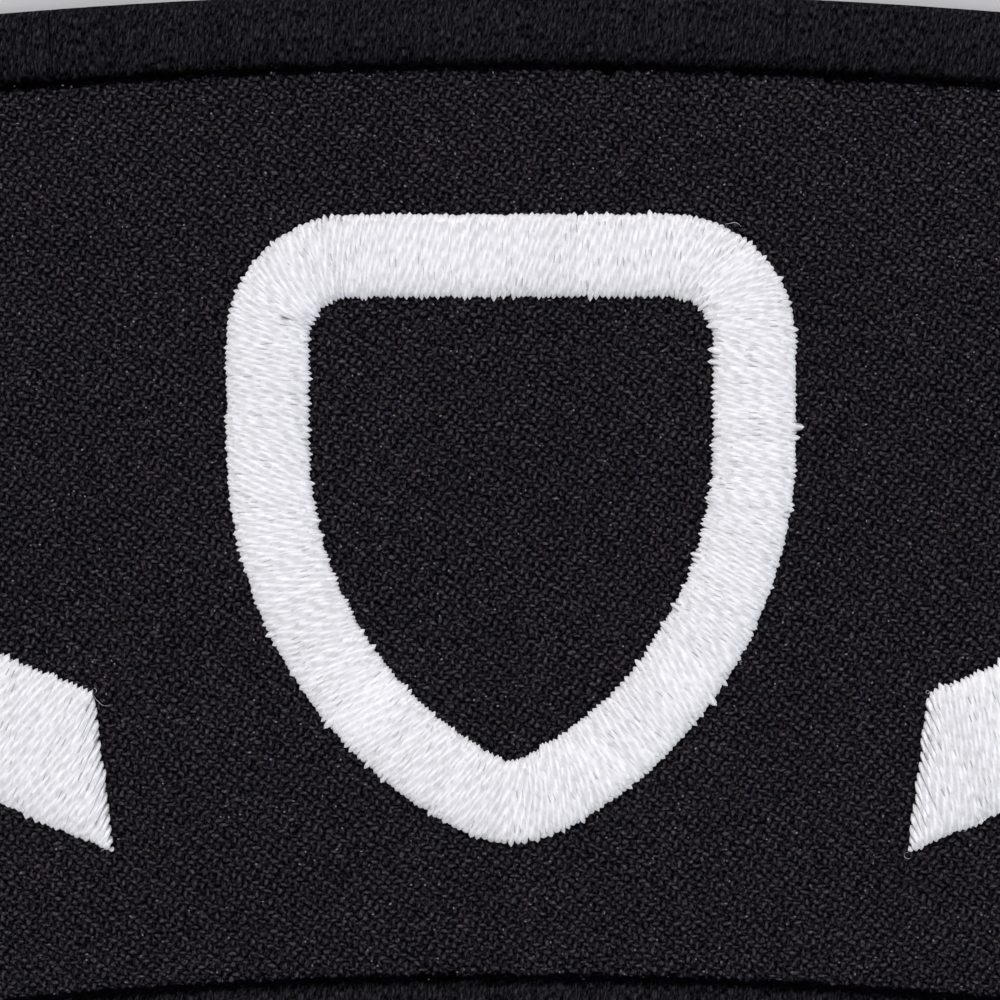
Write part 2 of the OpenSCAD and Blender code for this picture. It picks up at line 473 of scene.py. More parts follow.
def map_thread(mesh, run, phases):
    """The Thread map runs along and round each thread, and OFBake gives each thread its own strip."""
    count, lines = len(run), run.shape[1] - 1
    shape = (count, lines, THREAD_SIDES, 4)
    station = np.broadcast_to(np.arange(lines)[None, :, None, None] + (0, 0, 1, 1), shape)
    side = np.arange(THREAD_SIDES)[None, None, :, None] + (0, 1, 1, 0)
    round_it = np.broadcast_to(side / THREAD_SIDES, shape)
    thread = np.arange(count)[:, None, None, None]
    along = run[thread, station]

    # each thread starts at its own place along the map, so that its twist and fibres differ
    offset = 50 * MM * phases[thread]
    quads = np.stack((along + offset, round_it), axis=-1).reshape(-1, 2)
    caps = np.zeros((count * 2 * THREAD_SIDES, 2))
    mesh.uv_layers.new(name="Thread").data.foreach_set("uv", np.concatenate((quads, caps)).ravel())

    # in the bake's map a thread has a tall tile, with a strip for its side and two dots for its ends on top
    columns = math.ceil(math.sqrt(count * 4))
    rows = math.ceil(count / columns)
    strip_u = thread % columns + 0.1 + 0.8 * round_it
    strip_v = thread // columns + 0.06 + 0.86 * along / run[:, -1][:, None, None, None]
    tiles = [np.stack((strip_u, strip_v), axis=-1).reshape(-1, 2)]
    turn = np.arange(THREAD_SIDES) * 2 * math.pi / THREAD_SIDES
    for place in (0.3, 0.7):
        dot_u = thread[..., 0, 0] % columns + place + 0.1 * np.cos(turn)
        dot_v = thread[..., 0, 0] // columns + 0.96 + 0.02 * np.sin(turn)
        tiles.append(np.stack((dot_u, dot_v), axis=-1).reshape(-1, 2))
    uv = np.concatenate(tiles) / (columns, rows)
    mesh.uv_layers.new(name="OFBake").data.foreach_set("uv", uv.ravel())


def link_object(name, data):
    made = bpy.data.objects.new(name, data)
    bpy.context.collection.objects.link(made)
    return made


def select_only(*chosen):
    for item in bpy.context.view_layer.objects:
        item.select_set(item in chosen)
    bpy.context.view_layer.objects.active = chosen[0] if chosen else None


def padding_under(node, drawn_in, material):
    """The padding under a satin: the node's own solid, drawn in, its low rim laid on the cloth."""
    padding = link_object("padding", frame["nodes"][node].data.copy())
    padding.data.materials.clear()
    padding.data.materials.append(bpy.data.materials[material])
    select_only(padding)
    bpy.ops.object.mode_set(mode="EDIT")
    bpy.ops.mesh.select_all(action="SELECT")
    bpy.ops.mesh.remove_doubles(threshold=0.001 * MM)
    bpy.ops.transform.shrink_fatten(value=-drawn_in)
    bpy.ops.object.mode_set(mode="OBJECT")
    cloth = sizes().cloth_thickness
    for vert in padding.data.vertices:
        if cloth < vert.co.z < cloth + RIM_HEIGHT:
            vert.co.z = cloth
    return padding


def join_pieces(name, *parts):
    """One object of several, each with its own material, named for the piece that they make."""
    select_only(*parts)
    bpy.ops.object.join()
    parts[0].name = name
    return parts[0]


def hand_over(piece, node):
    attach(piece, "root")
    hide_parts(node)


# Materials

class Value:
    """What a node gives. Arithmetic on a number adds the math node that works out the result."""

    def __init__(self, wiring, socket):
        self.wiring, self.socket = wiring, socket

    def __add__(self, other):
        return self.wiring.math("ADD", self, other)

    def __radd__(self, other):
        return self.wiring.math("ADD", other, self)

    def __sub__(self, other):
        return self.wiring.math("SUBTRACT", self, other)

    def __rsub__(self, other):
        return self.wiring.math("SUBTRACT", other, self)

    def __mul__(self, other):
        return self.wiring.math("MULTIPLY", self, other)

    def __truediv__(self, other):
        return self.wiring.math("DIVIDE", self, other)

    def __pow__(self, other):
        return self.wiring.math("POWER", self, other)

    def __abs__(self):
        return self.wiring.math("ABSOLUTE", self)


class Wiring:
    """Adds nodes to a tree and wires them. A socket, a value or a constant can feed a socket."""

    def __init__(self, tree):
        self.tree = tree
        tree.nodes.clear()

    def feed(self, source, socket):
        if isinstance(source, Value):
            source = source.socket
        if isinstance(source, bpy.types.NodeSocket):
            self.tree.links.new(source, socket)
        else:
            socket.default_value = source

    def add(self, kind, inputs=None, **settings):
        node = self.tree.nodes.new(kind)
        for key, value in settings.items():
            setattr(node, key, value)
        for key, source in (inputs or {}).items():
            self.feed(source, node.inputs[key])
        return node

    def math(self, operation, *sources):
        node = self.add("ShaderNodeMath", dict(enumerate(sources)), operation=operation)
        return Value(self, node.outputs[0])

    def vector(self, operation, *sources):
        node = self.add("ShaderNodeVectorMath", dict(enumerate(sources)), operation=operation)
        return Value(self, node.outputs["Value" if operation in ("DOT_PRODUCT", "LENGTH") else "Vector"])

    def split(self, vector):
        node = self.add("ShaderNodeSeparateXYZ", {0: vector})
        return [Value(self, part) for part in node.outputs]

    def combine(self, x, y, z=0.0):
        return self.add("ShaderNodeCombineXYZ", {0: x, 1: y, 2: z}).outputs[0]

    def ramp(self, source, low, high, to_low=0.0, to_high=1.0):
        inputs = {"Value": source, "From Min": low, "From Max": high, "To Min": to_low, "To Max": to_high}
        return Value(self, self.add("ShaderNodeMapRange", inputs, interpolation_type="SMOOTHSTEP").outputs[0])

    def blend(self, share, a, b):
        node = self.add("ShaderNodeMix", data_type="RGBA")
        sockets = {socket.name: socket for socket in node.inputs if socket.enabled}
        for name, source in (("Factor", share), ("A", a), ("B", b)):
            self.feed(source, sockets[name])
        return next(socket for socket in node.outputs if socket.enabled)

    def noise(self, place, scale, detail=2.0, roughness=0.5, dimensions="3D", output=0):
        inputs = {"Vector": place, "Scale": scale, "Detail": detail, "Roughness": roughness}
        node = self.add("ShaderNodeTexNoise", inputs, noise_dimensions=dimensions)
        return Value(self, node.outputs[output])

    def cells(self, place, scale, randomness):
        """The distance to the nearest cell's middle, the cell's own colour of chance, and its middle."""
        inputs = {"Vector": place, "Scale": scale, "Randomness": randomness}
        node = self.add("ShaderNodeTexVoronoi", inputs, voronoi_dimensions="2D")
        return [Value(self, node.outputs[name]) for name in ("Distance", "Color", "Position")]

    def object_place(self):
        return self.add("ShaderNodeTexCoord").outputs["Object"]

    def tinted(self, colour, tone):
        """The colour multiplied by a tone."""
        return self.vector("MULTIPLY", tuple(colour), self.combine(tone, tone, tone))

    def group(self, name, **inputs):
        """Places a node group with its own values, and gives its outputs."""
        node = self.add("ShaderNodeGroup", node_tree=bpy.data.node_groups[name])
        for key, value in inputs.items():
            node.inputs[key.replace("_", " ")].default_value = value
        return {output.name: Value(self, output) for output in node.outputs}


def new_group(name, inputs, numbers, colours=()):
    """A node group with number inputs and their defaults, and outputs of numbers and of colours."""
    group = bpy.data.node_groups.new(name, "ShaderNodeTree")
    for label, default in inputs.items():
        socket = group.interface.new_socket(label, in_out="INPUT", socket_type="NodeSocketFloat")
        socket.default_value = default
    for label in numbers:
        group.interface.new_socket(label, in_out="OUTPUT", socket_type="NodeSocketFloat")
    for label in colours:
        group.interface.new_socket(label, in_out="OUTPUT", socket_type="NodeSocketColor")
    w = Wiring(group)
    return w, w.add("NodeGroupInput").outputs, w.add("NodeGroupOutput").inputs


FRAY_SCALE = 900               # so fine that across a thread each sample differs, which frays its fibres


def twisted_thread_group():
    """Two plies twisted together, with their fibres, along the Thread map."""
    w, given, result = new_group(
        "Twisted thread",
        {"Ply Length": 1.75 * MM, "Ply Height": 1.0, "Ply Contrast": 0.1, "Overlap": 2.0,
         "Fibre Length": 0.5 * MM, "Fibre Lean": 1.0, "Fibre Contrast": 0.1, "Strands": 7.0,
         "Wander": 0.35, "Unevenness": 0.15},
        ("Height", "Tone"))
    thread = w.add("ShaderNodeUVMap", uv_map="Thread").outputs[0]
    along, round_it, _ = w.split(thread)
    turns = along / given["Ply Length"]
    # threads that overlap show only the middle of their upper side, and it holds the width of one ply
    seen = (round_it - 0.5) * given["Overlap"]
    fray = w.noise(thread, FRAY_SCALE, detail=1.0, dimensions="2D")
    astray = seen + fray * given["Wander"]
    ply = abs(w.math("COSINE", (astray - turns) * (2 * math.pi))) ** 0.6
    strand = (astray - turns * given["Fibre Lean"]) * given["Strands"]
    fibre_place = w.combine(along / given["Fibre Length"], strand)
    fibre = w.noise(fibre_place, 1.0, detail=3.0, roughness=0.65, dimensions="2D")
    w.feed(ply * given["Ply Height"] + fibre * 0.35, result["Height"])
    luck = Value(w, w.add("ShaderNodeAttribute", attribute_name="thread_tone").outputs["Fac"])
    uneven = (luck - 0.5) * given["Unevenness"]
    # painted sheen and shade: the plies are painted lighter on their crowns and darker in the grooves between
    # them, and the fibres in lighter and darker streaks
    plies = w.ramp(ply, 0.15, 0.95, -0.6, 0.4) * given["Ply Contrast"]
    fibres = w.ramp(fibre, 0.32, 0.68, -0.5, 0.5) * given["Fibre Contrast"]

    # painted shade: here and there two stitches part for a short way, and the narrow gap between them is
    # painted dark
    parted = w.noise(w.vector("MULTIPLY", thread, (1, 0, 0)), 850.0, detail=0.0, dimensions="2D")
    slit_shade = w.ramp(parted, 0.71, 0.77) * w.ramp(abs(round_it - 0.5), 0.06, 0.093)
    tone = ((1.0 + uneven) + (plies + fibres)) * (1.0 - slit_shade * 0.4)
    w.feed(w.math("MAXIMUM", tone, 0.02), result["Tone"])


# Steps of the weave's lattice in millimetres, along a rib and to the next one, and how its yarns lean
ALONG_RIB = (0.371, -0.269)
TO_NEXT_RIB = (-0.286, -0.323)
RIB_AREA = ALONG_RIB[0] * TO_NEXT_RIB[1] - ALONG_RIB[1] * TO_NEXT_RIB[0]
WEFT_LEAN = math.radians(-4)
WARP_LEAN = math.radians(42)
FIBRE_LEAN = math.radians(66)
FIBRE_RATE = (5.8, 8.8)        # fibres to the millimetre, along themselves and across


def twill_weave_group():
    """The face of a fine twill: warp and weft yarns surface in turn, on a slanted lattice."""
    w, given, result = new_group(
        "Twill weave", {"Irregularity": 0.22}, ("Height", "Tone", "Glint"), ("Tint",))
    place = w.vector("MULTIPLY", w.object_place(), (1 / MM, 1 / MM, 0))
    drift = w.vector("SUBTRACT", w.noise(place, 0.55, output="Color"), (0.5, 0.5, 0.5))
    place = w.vector("ADD", place, w.vector("MULTIPLY", drift, (0.3, 0.3, 0)))
    in_rib = w.vector("DOT_PRODUCT", place, (TO_NEXT_RIB[1] / RIB_AREA, -TO_NEXT_RIB[0] / RIB_AREA, 0))
    rib = w.vector("DOT_PRODUCT", place, (-ALONG_RIB[1] / RIB_AREA, ALONG_RIB[0] / RIB_AREA, 0))
    rib = rib + (w.noise(place, 1.7, detail=0.0) - 0.5) * 0.6
    stagger = w.math("SINE", rib * math.pi) * 0.15
    cell = w.combine(in_rib + stagger, rib)
    _, chances, middle = w.cells(cell, scale=1.0, randomness=given["Irregularity"])
    lean_luck, length_luck, shine_luck = w.split(chances)
    step_x, step_y, _ = w.split(w.vector("SUBTRACT", cell, middle))
    off_x = step_x * ALONG_RIB[0] + step_y * TO_NEXT_RIB[0]
    off_y = step_x * ALONG_RIB[1] + step_y * TO_NEXT_RIB[1]
    is_warp = w.math("FLOORED_MODULO", w.math("FLOOR", w.split(middle)[1]), 2.0)

    # a weft float lies almost level, a warp float leans to the right and is broader
    lean = (is_warp * (WARP_LEAN - WEFT_LEAN) + WEFT_LEAN) + (lean_luck - 0.5) * 0.9
    cosine, sine = w.math("COSINE", lean), w.math("SINE", lean)
    long_way = off_x * cosine + off_y * sine
    short_way = off_y * cosine - off_x * sine
    reach = (long_way / (length_luck * 0.07 + 0.155)) ** 2.0 + (short_way / (is_warp * 0.01 + 0.12)) ** 2.0
    swell = w.ramp(reach, 0.1, 1.35, 1.0, 0.0)
    (rate_along, rate_across), cosine, sine = FIBRE_RATE, math.cos(FIBRE_LEAN), math.sin(FIBRE_LEAN)
    fibre_place = w.combine(
        w.vector("DOT_PRODUCT", place, (rate_along * cosine, rate_along * sine, 0)),
        w.vector("DOT_PRODUCT", place, (-rate_across * sine, rate_across * cosine, 0)),
        shine_luck * 50.0)
    fibre = w.noise(fibre_place, 1.0, roughness=0.6)
    w.feed(swell + fibre * 0.25, result["Height"])
    # painted sheen and shade: each float is painted lighter on its crown and darker towards the gaps between
    # floats, and its fibres in lighter streaks
    shine = (0.8 + shine_luck ** 2.0 * 0.6) * (1.08 - is_warp * 0.2)
    body = swell * shine * w.ramp(fibre, 0.33, 0.68, 0.3, 2.3)

    # painted glints: fibres that stand out of the yarns are painted lighter, in dots half as far apart
    distance, chances, _ = w.cells(cell, scale=1.9, randomness=0.75)
    dot_luck = w.split(chances)[0]
    tint = w.vector("MULTIPLY", chances, (0.18, 0.18, 0.18))
    w.feed(w.vector("ADD", tint, (0.91, 0.91, 0.91)), result["Tint"])
    glint_dot = w.ramp(distance, 0.1, 0.45, 1.0, 0.0) * dot_luck ** 1.5
    # fluff adds fine lighter mottling of painted glints
    fluff = w.ramp(w.noise(place, 5.5, roughness=0.6), 0.38, 0.68, -0.06, 0.42)
    w.feed(w.math("MAXIMUM", body * 0.8 + glint_dot * 0.75 + fluff, 0.0), result["Tone"])
    # painted glints: a rare one of the dots is painted as a pale fleck
    w.feed(w.ramp(dot_luck, 0.984, 0.998) * w.ramp(distance, 0.1, 0.32, 1.0, 0.0), result["Glint"])


def handling_group():
    """Slow unevenness and a trace of dust, over the whole patch."""
    w, given, result = new_group("Handling", {"Amount": 0.1}, ("Tone", "Dust"))
    place = w.object_place()
    slow = w.noise(place, 140.0, detail=3.0)
    w.feed(1.0 + (slow - 0.5) * given["Amount"], result["Tone"])
    fine, patch = w.noise(place, 5200.0, detail=1.0), w.noise(place, 420.0, detail=1.0)
    w.feed(w.ramp(fine, 0.72, 0.8) * w.ramp(patch, 0.5, 0.7), result["Dust"])


def shaded_edge_group():
    """Painted shade along the border's inner edge: a dark line on the cloth beside it, and the border's
    stitches darker towards their inner ends.
    """
    w, given, result = new_group("Shaded edge", {"Width": 0.3 * MM}, ("Shade", "Dive Shade"))
    s = sizes()
    upper, lower = s.top_radius - s.border_width, s.top_radius - s.band_height + s.border_width
    flat_place = w.vector("MULTIPLY", w.object_place(), (1, 1, 0))
    place = w.vector("SUBTRACT", flat_place, (*arch_centre(), 0))
    radius = w.vector("LENGTH", place)
    x, y, _ = w.split(place)
    to_end = y * math.sin(s.half_angle) - abs(x) * math.cos(s.half_angle)
    inside = w.math("MINIMUM", upper - radius, radius - lower)
    inside = w.math("MINIMUM", inside, to_end - s.border_width)
    inside = inside + (w.noise(place, 2200.0) - 0.5) * (0.9 * MM)
    # painted shade on the cloth beside the border
    w.feed(w.ramp(inside / given["Width"], 0.8, 1.3, 0.97, 0.0), result["Shade"])
    # painted shade on the border's stitches, darkest at their inner ends
    w.feed(w.ramp(inside, -0.5 * MM, 0.02 * MM, 0.0, 0.95), result["Dive Shade"])


def surface(name, roughness, specular):
    """A material's wiring and the inputs of its shader."""
    material = bpy.data.materials.new(name)
    material.use_nodes = True
    w = Wiring(material.node_tree)
    shader = w.add("ShaderNodeBsdfPrincipled", {"Roughness": roughness, "Specular IOR Level": specular})
    w.feed(shader.outputs[0], w.add("ShaderNodeOutputMaterial").inputs["Surface"])
    return w, shader.inputs


def relief(w, shader, height, depth, strength=1.0):
    bump = w.add("ShaderNodeBump", {"Height": height, "Distance": depth, "Strength": strength})
    w.feed(bump.outputs[0], shader["Normal"])


def thread_material(name, colour, specular, depth, edging=False, **twist):
    """Satin thread: its plies and fibres in colour and relief, the colour with painted sheen, painted light
    on a white thread's steep sides and ends, and painted shade on an edging's inner ends.
    """
    w, shader = surface(name, roughness=0.55, specular=specular)
    thread = w.group("Twisted thread", **twist)
    tone = thread["Tone"] * w.group("Handling", Amount=0.08)["Tone"]
    if edging:
        # painted shade: an edging's stitches are darker towards their inner ends, where they dive into the
        # cloth
        tone = tone * (1.0 - w.group("Shaded edge")["Dive Shade"])
    else:
        # painted light: a white thread's colour is lighter on its steep sides and ends, standing in for light
        # that comes through the thread and keeps them from going dark
        facing = w.split(w.add("ShaderNodeNewGeometry").outputs["Normal"])[2]
        tone = tone * w.ramp(facing, 0.55, 0.97, 1.24, 1.0)
    w.feed(w.tinted(colour, tone), shader["Base Color"])
    relief(w, shader, thread["Height"], depth)


def padding_material(name, thread_colour, share):
    """The padding stitches that show between two threads: matt, uneven and a share of their colour, darkened
    as painted shade for the shade between the threads.
    """
    w, shader = surface(name, roughness=0.8, specular=0.05)
    strands = w.noise(w.object_place(), 3500.0)
    tone = w.ramp(strands, 0.3, 0.7, 0.7, 1.05) * w.group("Handling")["Tone"]
    w.feed(w.tinted([share * part for part in thread_colour], tone), shader["Base Color"])
    relief(w, shader, strands, depth=0.08 * MM)


def twill_material():
    """Matt black twill with its floats in painted sheen and shade, painted glints, painted shade along the
    border and a trace of dust.
    """
    w, shader = surface("black_twill", roughness=0.62, specular=0.01)
    weave = w.group("Twill weave")
    handling = w.group("Handling", Amount=0.35)
    # painted shade along the border's inner edge
    tone = weave["Tone"] * handling["Tone"] * (1.0 - w.group("Shaded edge")["Shade"])
    colour = w.vector("MULTIPLY", w.tinted(colours().twill, tone), weave["Tint"])
    colour = w.vector("ADD", colour, (0.0002, 0, 0.0009))
    # painted glints and real dust both turn the cloth pale grey
    dust_and_glints = w.math("MAXIMUM", handling["Dust"] * 0.5, weave["Glint"] * 0.7)
    w.feed(w.blend(dust_and_glints, colour, (0.2, 0.2, 0.21, 1)), shader["Base Color"])
    w.feed(w.ramp(weave["Tone"], 0.1, 1.2, 0.75, 0.55), shader["Roughness"])
    relief(w, shader, weave["Height"], depth=0.05 * MM)


def backing_material():
    """The smooth dull film fused to the back of the twill."""
    w, shader = surface("backing", roughness=0.5, specular=0.3)
    w.feed(w.tinted((0.03, 0.03, 0.032), w.group("Handling", Amount=0.3)["Tone"]), shader["Base Color"])
    pressed = w.noise(w.object_place(), 2500.0, detail=1.0)
    relief(w, shader, pressed, depth=0.03 * MM, strength=0.6)


def make_materials():
    twisted_thread_group()
    twill_weave_group()
    handling_group()
    shaded_edge_group()
    twill_material()
    backing_material()
    c, turn = colours(), threads().ply_length
    # the ply and fibre contrasts set the painted sheen: weak on the white thread, strong on the black one,
    # whose light streaks are nearly all painted
    thread_material(
        "white_satin_thread", c.white_thread, specular=0.25, depth=0.025 * MM, Ply_Length=1.3 * turn,
        Ply_Height=0.5, Ply_Contrast=0.05, Fibre_Length=0.5 * MM, Fibre_Lean=0.2, Fibre_Contrast=0.15,
        Strands=5.5, Wander=0.6, Unevenness=0.1)
    thread_material(
        "black_satin_thread", c.black_thread, specular=0.012, depth=0.04 * MM, edging=True,
        Ply_Length=1.9 * turn, Ply_Height=1.0, Ply_Contrast=1.0, Fibre_Length=0.42 * MM, Fibre_Lean=1.0,
        Fibre_Contrast=9.5, Strands=10.0, Wander=0.35, Unevenness=0.7)
    # the padding is painted darker than its thread as painted shade, for the shade between the threads
    padding_material("white_padding", c.white_thread, share=0.8)
    padding_material("black_padding", c.black_thread, share=0.5)


# Operators, one for each group of pieces

WOVEN_STEP = 1.1 * MM          # about the side of a face of the cloth's mesh
CORNER_CUTS = 5                # straight cuts round each of its corners
CORNER_REACH = 1.6             # faces this near to the middle of a corner's arc, in its radii, are cut
DRAWN_DOWN = 0.1 * MM          # how far the edge of a satin draws the cloth down
DRAWN_REACH = 1.1 * MM         # how far from the edge it does
RIPPLES = 14                   # waves in the cloth, each in its own direction
RIPPLE_RATE = (120, 520)       # their rates, in radians to the metre
RIPPLE_HEIGHT = 0.012 * MM


class PATCH_OT_lay_twill(bpy.types.Operator):
    """Spins the band of twill, rounds its corners and gives it its thickness"""
    bl_idname = "patch.lay_twill"
    bl_label = "Lay the twill"

    def execute(self, context):
        s = sizes()
        edge = TWILL_LOW.x - CAD_LOW.x
        outer, inner = s.top_radius - edge, s.top_radius - s.band_height + edge
        turn = s.half_angle - math.asin(edge / inner)
        piece = self.spin_band(inner, outer, turn)
        self.round_corners(piece, inner, outer, turn, s.corner_radius - edge)
        bpy.ops.object.mode_set(mode="OBJECT")
        self.unsettle(piece)
        self.thicken(piece)
        hand_over(piece, "twill_ground")
        return {"FINISHED"}

    def spin_band(self, inner, outer, turn):
        """A plane is cut down to one edge, which is subdivided and spun about the centre of the arch."""
        select_only()
        bpy.ops.mesh.primitive_plane_add(size=1)
        piece = bpy.context.object
        piece.name = "twill_cloth"
        bpy.ops.object.mode_set(mode="EDIT")
        bpy.ops.mesh.select_all(action="DESELECT")
        for vert in bmesh.from_edit_mesh(piece.data).verts:
            vert.select_set(vert.co.x > 0)
        bpy.ops.mesh.delete(type="VERT")
        mesh = bmesh.from_edit_mesh(piece.data)
        for vert, radius in zip(mesh.verts, (inner, outer)):
            vert.co.xy = arch_centre() + around(radius, -turn)
            vert.select_set(True)
        mesh.select_flush(True)
        bmesh.update_edit_mesh(piece.data)
        bpy.ops.mesh.subdivide(number_cuts=round((outer - inner) / WOVEN_STEP) - 1)
        bpy.ops.mesh.select_all(action="SELECT")
        bpy.ops.mesh.spin(
            steps=round(2 * turn * outer / WOVEN_STEP), angle=2 * turn,
            center=(*arch_centre(), 0), axis=(0, 0, 1))
        bpy.ops.mesh.select_all(action="SELECT")
        bpy.ops.mesh.normals_make_consistent(inside=False)
        return piece

    def round_corners(self, piece, inner, outer, turn, bend):
        """Each corner is cut by short straight bisections along its arc."""
        upper = turn - math.asin(bend / (outer - bend))
        lower = turn - math.asin(bend / (inner + bend))
        end = turn + QUARTER_TURN
        arcs = ((outer - bend, upper, upper, end), (inner + bend, lower, end, lower + math.pi))
        for side in (-1, 1):
            for radius, angle, first, last in arcs:
                middle = arch_centre() + around(radius, angle) * (side, 1)
                for share in (np.arange(CORNER_CUTS) + 0.5) / CORNER_CUTS:
                    way = around(1, first + (last - first) * share) * (side, 1)
                    mesh = bmesh.from_edit_mesh(piece.data)
                    for face in mesh.faces:
                        off = np.array(face.calc_center_median().xy) - middle
                        face.select_set(float(np.hypot(*off)) < CORNER_REACH * bend)
                    mesh.select_flush(True)
                    bmesh.update_edit_mesh(piece.data)
                    bpy.ops.mesh.bisect(
                        plane_co=(*(middle + way * bend), 0), plane_no=(*way, 0), clear_outer=True)

    def unsettle(self, piece):
        """The cloth is drawn down a little beside the satin and lies a little unevenly between."""
        random = chance("twill")
        points = np.empty(len(piece.data.vertices) * 3)
        piece.data.vertices.foreach_get("co", points)
        points = points.reshape(-1, 3)
        nearest = distance_to(points[:, :2], satin_outlines())
        sunk = DRAWN_DOWN * np.exp(-(nearest / DRAWN_REACH) ** 2)
        swell = np.zeros(len(points))
        for _ in range(RIPPLES):
            way = around(random.uniform(*RIPPLE_RATE), random.uniform(0, math.pi))
            swell += np.sin(points[:, :2] @ way + random.uniform(0, 2 * math.pi))
        points[:, 2] = sizes().cloth_thickness - sunk - RIPPLE_HEIGHT * (swell - swell.min())
        piece.data.vertices.foreach_set("co", points.ravel())

    def thicken(self, piece):
        """The cloth and its backing are one layer, and its back is flat."""
        select_only(piece)
        piece.data.materials.append(bpy.data.materials["black_twill"])
        piece.data.materials.append(bpy.data.materials["backing"])
        layer = piece.modifiers.new("thickness", "SOLIDIFY")
        layer.thickness = sizes().cloth_thickness
        layer.offset = -1
        layer.material_offset = 1
        layer.material_offset_rim = 0
        bpy.ops.object.modifier_apply(modifier=layer.name)
        for vert in piece.data.vertices:
            if vert.co.z < sizes().cloth_thickness / 2:
                vert.co.z = 0
        bpy.ops.object.shade_smooth_by_angle(angle=math.radians(40))


LONG_SHARE = 0.16              # share of the border's stitches that reach further in than the rest
LONG_STITCH = (0.15, 0.4)      # how much further, in millimetres
BORDER_STRAY = 0.09 * MM       # how far each stitch ends astray from the border's inner edge
BORDER_BOW = 0.035 * MM
BORDER_UPS_AND_DOWNS = 0.015 * MM
BORDER_DRAWN_IN = 0.21 * MM    # how far the border's padding lies under its stitches


class PATCH_OT_wrap_border(bpy.types.Operator):
    """Wraps black thread over the cut edge of the twill, all round"""
    bl_idname = "patch.wrap_border"
    bl_label = "Wrap the border"

    def execute(self, context):
        s, t = sizes(), threads()
        random = chance("border")
        outer, inner = spread_between(
            band_edge(0), band_edge(s.border_width), t.border_pitch,
            weight=0.4, lean=t.lean / 2, random=random)
        inward = (inner - outer) / np.linalg.norm(inner - outer, axis=1, keepdims=True)
        across = np.stack((-inward[:, 1], inward[:, 0]), axis=1)
        column = (len(outer), 1)
        stray = random.gumbel(*NEEDLE_LUCK, column) * BORDER_STRAY
        stray += (random.random(column) < LONG_SHARE) * random.uniform(*LONG_STITCH, column) * MM
        aside = random.normal(0, BORDER_BOW, column)
        inset, height = self.section().T

        # only the inner half of a stitch strays
        reach = np.clip((inset - s.border_width * 0.5) / (s.border_width * 0.5), 0, 1)
        plan = outer[:, None] + inward[:, None] * (inset + stray * reach)[..., None]
        bow = aside * np.sin(math.pi * np.linspace(0, 1, len(inset)))
        plan = plan + across[:, None] * bow[..., None]
        height = height + random.normal(0, BORDER_UPS_AND_DOWNS, column) * (height > s.cloth_thickness)
        wrap = thread_mesh(
            "border_threads", np.dstack((plan, height)), t.border_thread, t.thickness, "black_satin_thread",
            random, taper=0.7)
        padding = padding_under("border", BORDER_DRAWN_IN, "black_padding")
        hand_over(join_pieces("border_satin", wrap, padding), "border")
        return {"FINISHED"}

    def section(self):
        """Centre line of a wrapped thread, as rows of distance inside the edge and height."""
        s = sizes()
        cloth, width = s.cloth_thickness, s.border_width
        half = threads().thickness / 2
        crown = s.border_height - half
        rise = crown - cloth
        return np.array((
            (s.wrap_width, half),
            (0.07 * width, half),
            (half, 0.5 * cloth),
            (0.05 * width, cloth + rise * 0.2),
            (0.16 * width, cloth + rise * 0.75),
            (0.36 * width, crown),
            (0.62 * width, crown),
            (0.84 * width, cloth + rise * 0.74),
            (0.96 * width, cloth + rise * 0.2),
            (0.99 * width, cloth - 0.35 * MM),
        ))


FIGURE_DRAWN_IN = 0.26 * MM    # how far a figure's padding lies under its stitches
HAIRS = 5                      # loose fibres beside each figure
HAIR_STATIONS = 12             # points along each of them
HAIR_SLANT = 0.5               # how far it starts out of line with the edge, in radians
HAIR_BEND = 0.3                # how far it turns from one point to the next, the same way all along
HAIR_KINK = 0.15               # and how unevenly
HAIR_WAVE = 0.08 * MM          # how far it rises and sinks
HAIR_STEP = (0.05, 0.12)       # distance from one point to the next, in millimetres
HAIR_HEIGHT = (0.08, 0.35)     # how high over the twill a loose fibre lies, in millimetres
HAIR_WIDTH = 0.024 * MM


def stray_fibres(name, edge, random):
    """Hair-thin fibres that have come loose and lie curled beside the outer edge of a satin."""
    step = random.uniform(*HAIR_STEP, (HAIRS, 1)) * MM
    curl = random.normal(0, HAIR_BEND, (HAIRS, 1)) + random.normal(0, HAIR_KINK, (HAIRS, HAIR_STATIONS))
    first = random.integers(len(edge), size=HAIRS)
    run = np.roll(edge, -1, axis=0)[first] - edge[first]
    heading = np.arctan2(run[:, 1], run[:, 0])[:, None] + random.normal(0, HAIR_SLANT, (HAIRS, 1))
    heading = heading + np.cumsum(curl, axis=1)
    steps = np.stack((np.cos(heading), np.sin(heading)), axis=-1) * step[..., None]
    plan = edge[first][:, None] + np.cumsum(steps, axis=1)
    height = sizes().cloth_thickness + random.uniform(*HAIR_HEIGHT, (HAIRS, 1)) * MM
    phase = np.linspace(0, 3, HAIR_STATIONS) + random.uniform(0, 6, (HAIRS, 1))
    height = height + HAIR_WAVE * np.sin(phase)
    return thread_mesh(
        name, np.dstack((plan, height)), HAIR_WIDTH, HAIR_WIDTH, "white_satin_thread", random, taper=0.6)


def stitch_figure(node, angle, starts, ends, outlines, reach, dives):
    """Lays a figure's stitches over its padding, on its place in the row."""
    random = chance(node)
    t = threads()
    place = on_the_row(angle)
    paths = stitch_paths(place(starts), place(ends), [place(o) for o in outlines], reach, dives, random)
    paths[..., 2] += sizes().cloth_thickness
    satin = thread_mesh(node + "_threads", paths, t.satin_width, t.thickness, "white_satin_thread", random)
    padding = padding_under(node, FIGURE_DRAWN_IN, "white_padding")
    fibres = stray_fibres(node + "_fibres", place(outlines[0]), random)
    hand_over(join_pieces(node + "_satin", satin, padding, fibres), node)


